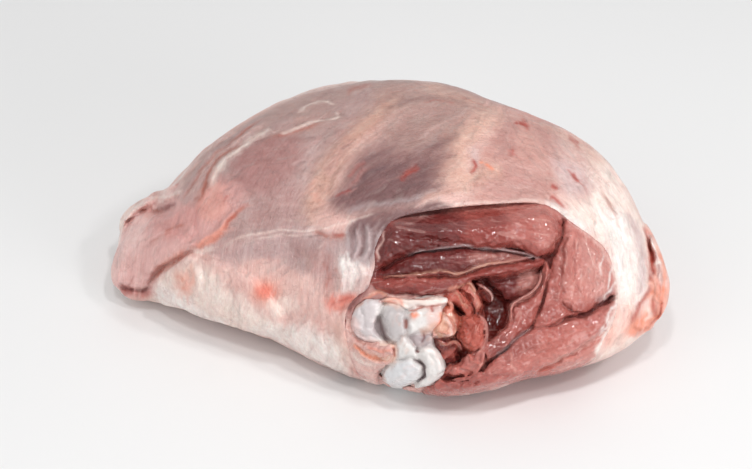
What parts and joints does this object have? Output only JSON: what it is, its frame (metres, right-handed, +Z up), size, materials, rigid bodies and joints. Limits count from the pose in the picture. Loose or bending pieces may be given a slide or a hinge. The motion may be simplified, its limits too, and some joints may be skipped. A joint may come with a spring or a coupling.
{
  "type": "raw leg of lamb",
  "caption": "Raw leg of lamb without the shank, lying on its side: a domed muscle mass under a fat cover, with an open cut face of folded muscles and the knuckle of the leg bone.",
  "frame": {"origin": "middle of the part's box in X and Y, on the flat spot that it lies on", "axes": "+X along the leg from its flank end to its rump end, +Z up, and the cut face with the knuckle looks towards -Y"},
  "size_m": [0.2819, 0.1834, 0.107],
  "materials": {
    "meat": "moist raw lamb under a thin cream fat cover, dark red where the muscles are cut",
    "bone": "smooth moist cartilage, nearly white"
  },
  "bodies": {
    "root": {"leg_meat": "meat", "leg_bone": "bone"}
  },
  "joints": []
}
